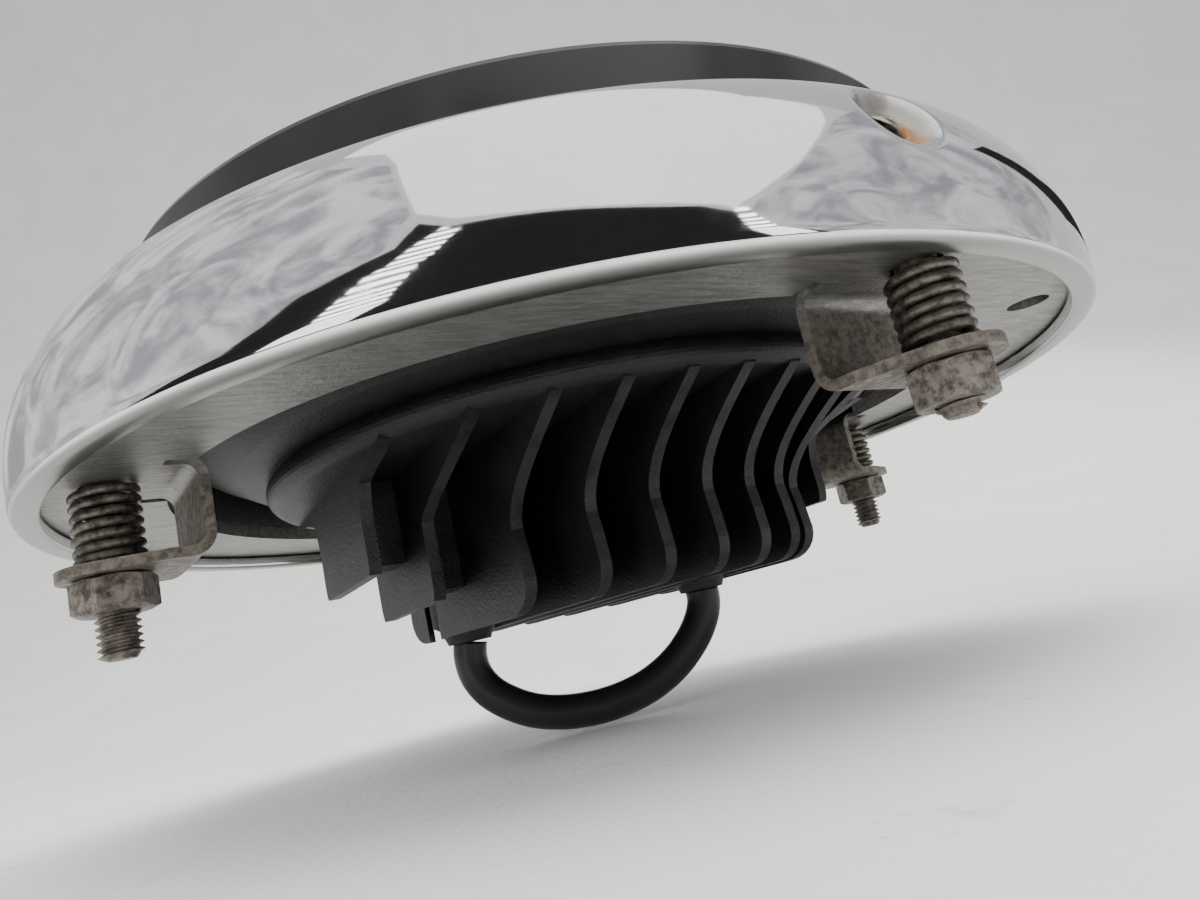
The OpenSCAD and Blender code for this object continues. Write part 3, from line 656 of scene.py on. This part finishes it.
bmesh.ops.translate(bm, vec=(2 * SWEEP_X, 0, 0),
                    verts=[g for g in pushed if isinstance(g, bmesh.types.BMVert)])
bmesh.ops.rotate(bm, verts=bm.verts, cent=(0, 0, 0),
                 matrix=Matrix.Rotation(math.radians(SWEEP_TURN), 3, "Z"))
for face in bm.faces:
    face.smooth = True
sweep_mesh = bpy.data.meshes.new("sweep")
bm.to_mesh(sweep_mesh)
bm.free()
sweep = bpy.data.objects.new("sweep", sweep_mesh)
bpy.context.scene.collection.objects.link(sweep)
dress(sweep, floor_finish)
print("floor at", FLOOR_Z)

# %% [markdown]
# ## Cards and lights
# A mirror shows the room and little else, so the room is built as cards that the camera does not
# see: a white one above, a black one low at the front for the dark band, crumpled silver ones at the
# sides, narrow ribbed strips at the band's two ends, and a thin black one for the line on the right.
# A corner is a compass direction and a height, in degrees, seen from the lamp's centre.

# %% Cards and lights
CARD_CUTS = 6
CARD_BLACK = (0.004, 0.004, 0.004, 1)
FOLD_DARK, FOLD_LIGHT = (0.40, 0.405, 0.42, 1), (0.95, 0.96, 0.98, 1)
RIB_DARK, RIB_LIGHT = (0.02, 0.02, 0.02, 1), (1, 1, 1, 1)


def toward(compass, height, reach):
    a, e = math.radians(compass), math.radians(height)
    return Vector((math.sin(a) * math.cos(e), math.cos(a) * math.cos(e), math.sin(e))) * reach


def card(name, reach, corners, glow, creased=False, ribbed=False):
    bm = bmesh.new()
    bm.faces.new([bm.verts.new(toward(*corner, reach)) for corner in corners])
    bmesh.ops.triangulate(bm, faces=bm.faces)
    bmesh.ops.subdivide_edges(bm, edges=bm.edges, cuts=CARD_CUTS, use_grid_fill=True)
    for vert in bm.verts:
        vert.co = vert.co.normalized() * reach
    mesh = bpy.data.meshes.new(name)
    bm.to_mesh(mesh)
    bm.free()
    piece = bpy.data.objects.new(name, mesh)
    bpy.context.scene.collection.objects.link(piece)
    finish = Finish(name, Emission_Strength=glow, Emission_Color=(1, 1, 1, 1), Roughness=1.0)
    finish.shader.inputs["Base Color"].default_value = CARD_BLACK
    if creased:
        folds = finish.at.node("TexNoise", Vector=finish.at, Scale=4.5, Detail=7.0,
                               Roughness=0.62, Distortion=1.6)
        finish.put("Emission Color", folds.step(0.36, 0.64).mix(FOLD_DARK, FOLD_LIGHT))
    if ribbed:
        ribs = finish.at.node("TexWave", {"bands_direction": "Z"}, out=1, Vector=finish.at,
                              Scale=22.0)
        finish.put("Emission Color", ribs.step(0.35, 0.65).mix(RIB_DARK, RIB_LIGHT))
    dress(piece, finish)
    piece.visible_camera = False
    piece.visible_shadow = False


card("card_over", 0.9, [(252, 69), (230, 42), (221, 36), (210, 33), (195, 29), (182, 25),
                        (173, 20), (167, 25), (154, 34), (130, 47), (117, 52), (110, 62),
                        (71, 66), (41, 60), (10, 62), (330, 70), (290, 76)], 1.5)
card("card_dark", 0.6, [(285, -4), (262, 4), (249, 13), (241, 20), (233, 27), (228, 36), (222, 32),
                        (210, 29), (197, 25), (184, 20), (174, 18), (168, 8), (160, -4)], 0.0)
card("card_left", 0.8, [(255, 69), (231, 42), (235, 30), (243, 24), (252, 17), (262, 4), (288, -3),
                        (304, 2), (325, 4), (352, 12), (8, 25), (8, 45), (345, 60), (300, 70)],
     1.0, creased=True)
card("card_right", 0.8, [(171, 19), (156, 32), (127, 47), (92, 45), (95, 30), (97, 18), (104, 4),
                         (114, -3), (160, -3)], 0.85, creased=True)
card("card_strip", 0.56, [(223, 32), (228, 28), (233, 23), (242, 17), (251, 6), (256, -3),
                          (240, -3), (231, 17), (225, 23), (220, 30)], 5.0, ribbed=True)
card("card_strip_right", 0.56, [(175, 19), (173, 19), (169, 11), (163, -3), (171, -3), (173, 5)],
     5.0, ribbed=True)
card("card_line", 0.6, [(100, 31), (87, 23), (73, 17), (73, 14), (89, 17), (97, 24), (107, 31)],
     0.0)


def lamp(name, centre, size, power):
    light = bpy.data.lights.new(name, "AREA")
    light.size = size
    light.energy = power
    thing = bpy.data.objects.new(name, light)
    thing.matrix_world = (Matrix.Translation(centre)
                          @ (-Vector(centre)).to_track_quat("-Z", "Y").to_matrix().to_4x4())
    thing.visible_glossy = False
    bpy.context.scene.collection.objects.link(thing)


lamp("key", (-1.05, -0.45, 0.5), 0.8, 14)
lamp("top", (-0.1, -0.3, 1.3), 1.2, 22)
lamp("fill", (0.9, 0.2, 0.8), 0.9, 8)
world = bpy.data.worlds.new("studio")
world.use_nodes = True
sky = world.node_tree.nodes["Background"]
sky.inputs["Color"].default_value = (0.93, 0.94, 0.96, 1)
sky.inputs["Strength"].default_value = 0.85
bpy.context.scene.world = world
print("stage ready")
